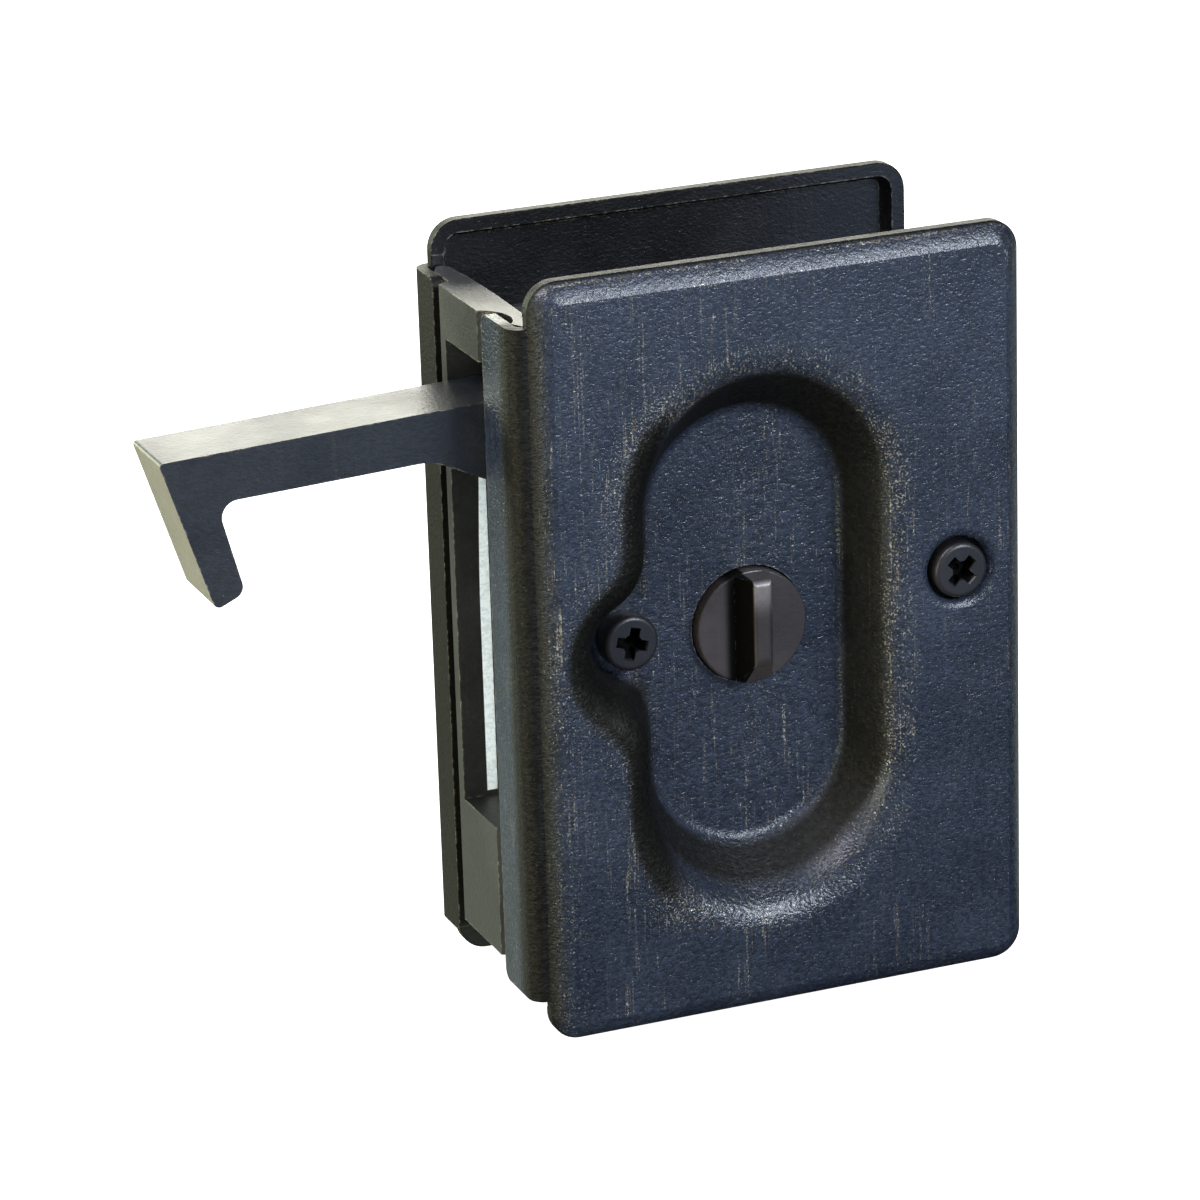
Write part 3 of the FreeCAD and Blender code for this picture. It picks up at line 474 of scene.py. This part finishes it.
# Plated and turned steel inside. The cap tone is painted shade on a plate's top end, above the
# height that a look sets, where that end catches the light
steelSet = {"shade": 0.72, "cloud": (140, 3, 0.6), "cloudRange": (0.3, 0.7),
            "lines": (1, 4, 0.7), "lineStretch": (30, 30, 1600), "lineRange": (0.3, 0.7),
            "lineBump": 0.25, "lineDepth": 0.00002, "capShade": srgb(24, 24, 25), "capShadeSoft": 0.0005}
zinc = srgb(226, 230, 232)
steelLooks = {
    "cheekZinc": {"pieces": ["rear_cheek"], "colour": zinc, "rough": (0.5, 0.65), "metal": 0.2,
                  "shadedAbove": 0.0322},
    "zincSteel": {"pieces": ["cheek_rivets", "cheek_spacer", "pivot_washers", "drive_link",
                             "crank", "coin_turn_ring", "flat_bar"],
                  "colour": zinc, "rough": (0.4, 0.55), "metal": 0.35},
    "turnedSteel": {"pieces": ["lever_pivot_pin", "stop_pin", "tail_pin", "crank_pin",
                               "screw_posts"],
                    "colour": srgb(140, 140, 142), "rough": (0.25, 0.4), "metal": 1.0},
    "darkSteel": {"pieces": ["front_cheek"], "colour": srgb(46, 48, 52), "rough": (0.5, 0.6),
                  "metal": 0.2},
    "springSteel": {"pieces": ["friction_washer"], "colour": srgb(98, 100, 106),
                    "rough": (0.25, 0.4), "metal": 1.0}}


def steel(name, look):
    n = Nodes(name)
    colour = look["colour"]
    lines = n.noise(*steelSet["lines"], n.stretched(steelSet["lineStretch"]))
    cloud = n.noise(*steelSet["cloud"])
    dark = tuple(c * steelSet["shade"] for c in colour)
    tone = n.mix(n.ramp(cloud, *steelSet["cloudRange"]), dark, colour)
    if look.get("shadedAbove"):
        edge = look["shadedAbove"]
        tone = n.mix(n.ramp(n.split()[2], edge, edge + steelSet["capShadeSoft"]), tone, steelSet["capShade"])
    n.feed(n.shader.inputs["Base Color"], tone)
    n.feed(n.shader.inputs["Roughness"], n.ramp(lines, *steelSet["lineRange"], *look["rough"]))
    n.shader.inputs["Metallic"].default_value = look["metal"]
    n.feed(n.shader.inputs["Normal"], n.bump(lines, steelSet["lineBump"], steelSet["lineDepth"]))
    return n.material


def dress(name, material):
    item = frame["nodes"][name]
    item.data.materials.clear()
    item.data.materials.append(material)


def dressAll():
    dress("front_plate", bronze("plateBronze", plateLook))
    dress("back_plate", bronze("backBronze", backLook))
    dress("edge_channel", bronze("channelBronze", channelLook))
    dress("hook_lever", bronze("leverBronze", leverLook))
    dress("thumb_turn", bronze("turnBronze", turnLook))
    dress("coin_turn", bronze("coinBronze", coinLook))
    for screw in ("left_screw", "right_screw"):
        dress(screw, screwFinish(screw))
    for name, look in steelLooks.items():
        material = steel(name, look)
        for piece in look["pieces"]:
            dress(piece, material)
    stageNote("materials on %d nodes" % len(frame["nodes"]))


# Pieces whose packed form is a little off the photograph: copies in which the corners between
# low and high are shifted. The channel's raised band ends further back, the back plate's flange
# is shorter and the hook's tip lower. Corners that agree to mergeDigits decimals are one
mergeDigits = 7
reshapeSet = {
    "edge_channel": {"piece": "channelCasting", "low": (-0.029, 0.0179, -0.05),
                     "high": (-0.0268, 0.019, 0.05), "shift": (0, 0.0009, 0)},
    "back_plate": {"piece": "backPressing", "low": (-0.029, 0.018, -0.05),
                   "high": (-0.027, 0.0205, 0.05), "shift": (0, 0.0019, 0)},
    "hook_lever": {"piece": "leverCasting", "low": (-0.06, 0, 0),
                   "high": (-0.054, 0.03, 0.0125), "shift": (0.00015, 0, -0.0007)}}


def shifted(place, look):
    inside = all(a <= c <= b for a, c, b in zip(look["low"], place, look["high"]))
    return tuple(place + Vector(look["shift"])) if inside else tuple(place)


def reshaped(node, look):
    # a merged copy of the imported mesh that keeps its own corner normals
    source = frame["nodes"][node].data
    places, numbers, faces, normals = [], {}, [], []
    for polygon in source.polygons:
        corners = []
        for loop in polygon.loop_indices:
            place = source.vertices[source.loops[loop].vertex_index].co
            key = tuple(round(c, mergeDigits) for c in place)
            if key not in numbers:
                numbers[key] = len(places)
                places.append(shifted(place, look))
            corners.append(numbers[key])
        if len(set(corners)) == len(corners):
            faces.append(corners)
            normals.extend(source.corner_normals[loop].vector.copy()
                           for loop in polygon.loop_indices)
    data = bpy.data.meshes.new(look["piece"])
    data.from_pydata(places, [], faces)
    for polygon in data.polygons:
        polygon.use_smooth = True
    data.normals_split_custom_set(normals)
    data.materials.append(source.materials[0])
    piece = bpy.data.objects.new(look["piece"], data)
    bpy.context.collection.objects.link(piece)
    bodies = frame["record"]["behaviour"]["bodies"]
    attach(piece, next(body for body, nodes in bodies.items() if node in nodes))
    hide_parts(node)
    stageNote("%s stands for %s" % (look["piece"], node))


# Studio: floor and surround are white to the camera. The finish mirrors a bluish floor in
# front, a greenish one behind and a dim sky, and the lamps and a dim surround light the lock
studioSet = {"floor": -0.0418, "reach": 3.0, "floorTone": (0.8, 0.8, 0.8), "floorGlow": 0.88,
             "surround": (0.03, 0.033, 0.036), "skyMirror": (0.06, 0.07, 0.08),
             "frontMirror": (0.36, 0.5, 0.74), "backMirror": (0.38, 0.43, 0.34),
             "frontFade": (-0.015, -0.2), "frontSide": (-0.06, 0.02),
             "backStart": (0.0, 0.01), "backFade": (0.05, 0.2, 1.0, 0.3),
             "lampAim": (0, 0.01, 0)}


def glow(n, name, colour, strength):
    node = n.add("ShaderNodeEmission")
    node.name = name
    node.inputs["Color"].default_value = (*colour, 1)
    n.feed(node.inputs["Strength"], strength)
    return node.outputs[0]


def joined(n, kind, a, b, share=None):
    # two shaders mixed by a share, or simply added
    node = n.add("ShaderNodeMixShader" if kind == "mix" else "ShaderNodeAddShader")
    sockets = node.inputs[1:] if kind == "mix" else node.inputs
    if kind == "mix":
        n.feed(node.inputs[0], share)
    n.tree.links.new(a, sockets[0])
    n.tree.links.new(b, sockets[1])
    return node.outputs[0]


def floorMaterial():
    n = Nodes("studioWhite")
    out = n.tree.nodes["Material Output"]
    n.tree.nodes.remove(n.shader)
    plain = n.add("ShaderNodeBsdfDiffuse")
    plain.inputs["Color"].default_value = (*studioSet["floorTone"], 1)
    path = n.add("ShaderNodeLightPath")
    x, y, z = n.split()
    # the front glow is dark close to the lock and grows away from it: a painted shadow in the
    # mirrored floor
    ahead = n.math("MULTIPLY", n.ramp(y, *studioSet["frontFade"]),
                   n.ramp(x, *studioSet["frontSide"]))
    front = glow(n, "frontMirror", studioSet["frontMirror"], ahead)
    behind = n.math("MULTIPLY", n.ramp(y, *studioSet["backStart"]),
                    n.ramp(y, *studioSet["backFade"]))
    back = glow(n, "backMirror", studioSet["backMirror"], behind)
    mirrored = joined(n, "add", front, back)
    seen = joined(n, "add", glow(n, "seenWhite", (1, 1, 1), studioSet["floorGlow"]),
                  plain.outputs[0])
    given = joined(n, "mix", plain.outputs[0], mirrored, path.outputs["Is Glossy Ray"])
    n.tree.links.new(joined(n, "mix", given, seen, path.outputs["Is Camera Ray"]),
                     out.inputs["Surface"])
    return n.material


def addFloor():
    data = bpy.data.meshes.new("studioFloor")
    s, z = studioSet["reach"], studioSet["floor"]
    data.from_pydata([(-s, -s, z), (s, -s, z), (s, s, z), (-s, s, z)], [], [(0, 1, 2, 3)])
    floor = bpy.data.objects.new("studioFloor", data)
    floor.data.materials.append(floorMaterial())
    bpy.context.collection.objects.link(floor)


def addWorld():
    world = bpy.data.worlds.new("studioSurround")
    world.use_nodes = True
    bpy.context.scene.world = world
    tree = world.node_tree
    tree.nodes.clear()
    out = tree.nodes.new("ShaderNodeOutputWorld")
    path = tree.nodes.new("ShaderNodeLightPath")
    result = worldTone(tree, "surroundGlow", studioSet["surround"])
    for ray, tone, name in (("Is Glossy Ray", studioSet["skyMirror"], "skyMirror"),
                            ("Is Camera Ray", (1, 1, 1), "seenSky")):
        mix = tree.nodes.new("ShaderNodeMixShader")
        tree.links.new(path.outputs[ray], mix.inputs[0])
        tree.links.new(result, mix.inputs[1])
        tree.links.new(worldTone(tree, name, tone), mix.inputs[2])
        result = mix.outputs[0]
    tree.links.new(result, out.inputs[0])


def worldTone(tree, name, tone):
    node = tree.nodes.new("ShaderNodeBackground")
    node.name = name
    node.inputs["Color"].default_value = (*tone, 1)
    return node.outputs[0]


def addLight(name, look):
    data = bpy.data.lights.new(name, "AREA")
    data.shape = "RECTANGLE"
    data.size, data.size_y = look["size"]
    data.energy = look["power"]
    data.color = look["colour"]
    lamp = bpy.data.objects.new(name, data)
    lamp.location = look["place"]
    aim = Vector(studioSet["lampAim"]) - Vector(look["place"])
    lamp.rotation_euler = aim.to_track_quat("-Z", "Y").to_euler()
    lamp.visible_camera = False
    lamp.visible_glossy = look["mirrored"]
    bpy.context.collection.objects.link(lamp)


# Lamps: mirrored ones are seen in the metal, the others only light it
lightSet = {
    "backHigh": {"place": (0.34, 0.85, 0.36), "size": (0.9, 0.36), "power": 8.6,
                 "colour": (1.0, 0.99, 0.87), "mirrored": True},
    "top": {"place": (0.32, -0.5, 0.7), "size": (0.3, 0.25), "power": 1.7,
            "colour": (0.84, 0.9, 1.0), "mirrored": True},
    "topLeft": {"place": (-0.45, -0.1, 0.75), "size": (0.4, 0.5), "power": 6.5,
                "colour": (0.98, 0.95, 1.0), "mirrored": True},
    "front": {"place": (0.34, -0.72, 0.42), "size": (0.25, 0.25), "power": 7.8,
              "colour": (0.8, 0.88, 1.0), "mirrored": True},
    "frontLeft": {"place": (-0.36, -0.8, 0.34), "size": (0.35, 0.35), "power": 2.3,
                  "colour": (0.9, 0.96, 1.0), "mirrored": False},
    "leftLow": {"place": (-0.5, -0.12, -0.01), "size": (0.3, 0.06), "power": 2.4,
                "colour": (1.0, 0.98, 0.86), "mirrored": False},
    "leftGlow": {"place": (-0.5, -0.1, -0.01), "size": (0.3, 0.06), "power": 1.25,
                 "colour": (1.0, 0.96, 0.6), "mirrored": True},
    "leftBack": {"place": (-0.5, 0.75, 0.2), "size": (0.5, 0.4), "power": 6.0,
                 "colour": (0.92, 1.0, 0.76), "mirrored": True}}


addCamera()
dressAll()
for node, look in reshapeSet.items():
    reshaped(node, look)
addFloor()
addWorld()
for name, look in lightSet.items():
    addLight(name, look)
bpy.context.scene.view_settings.view_transform = "Standard"
stageNote("studio ready")
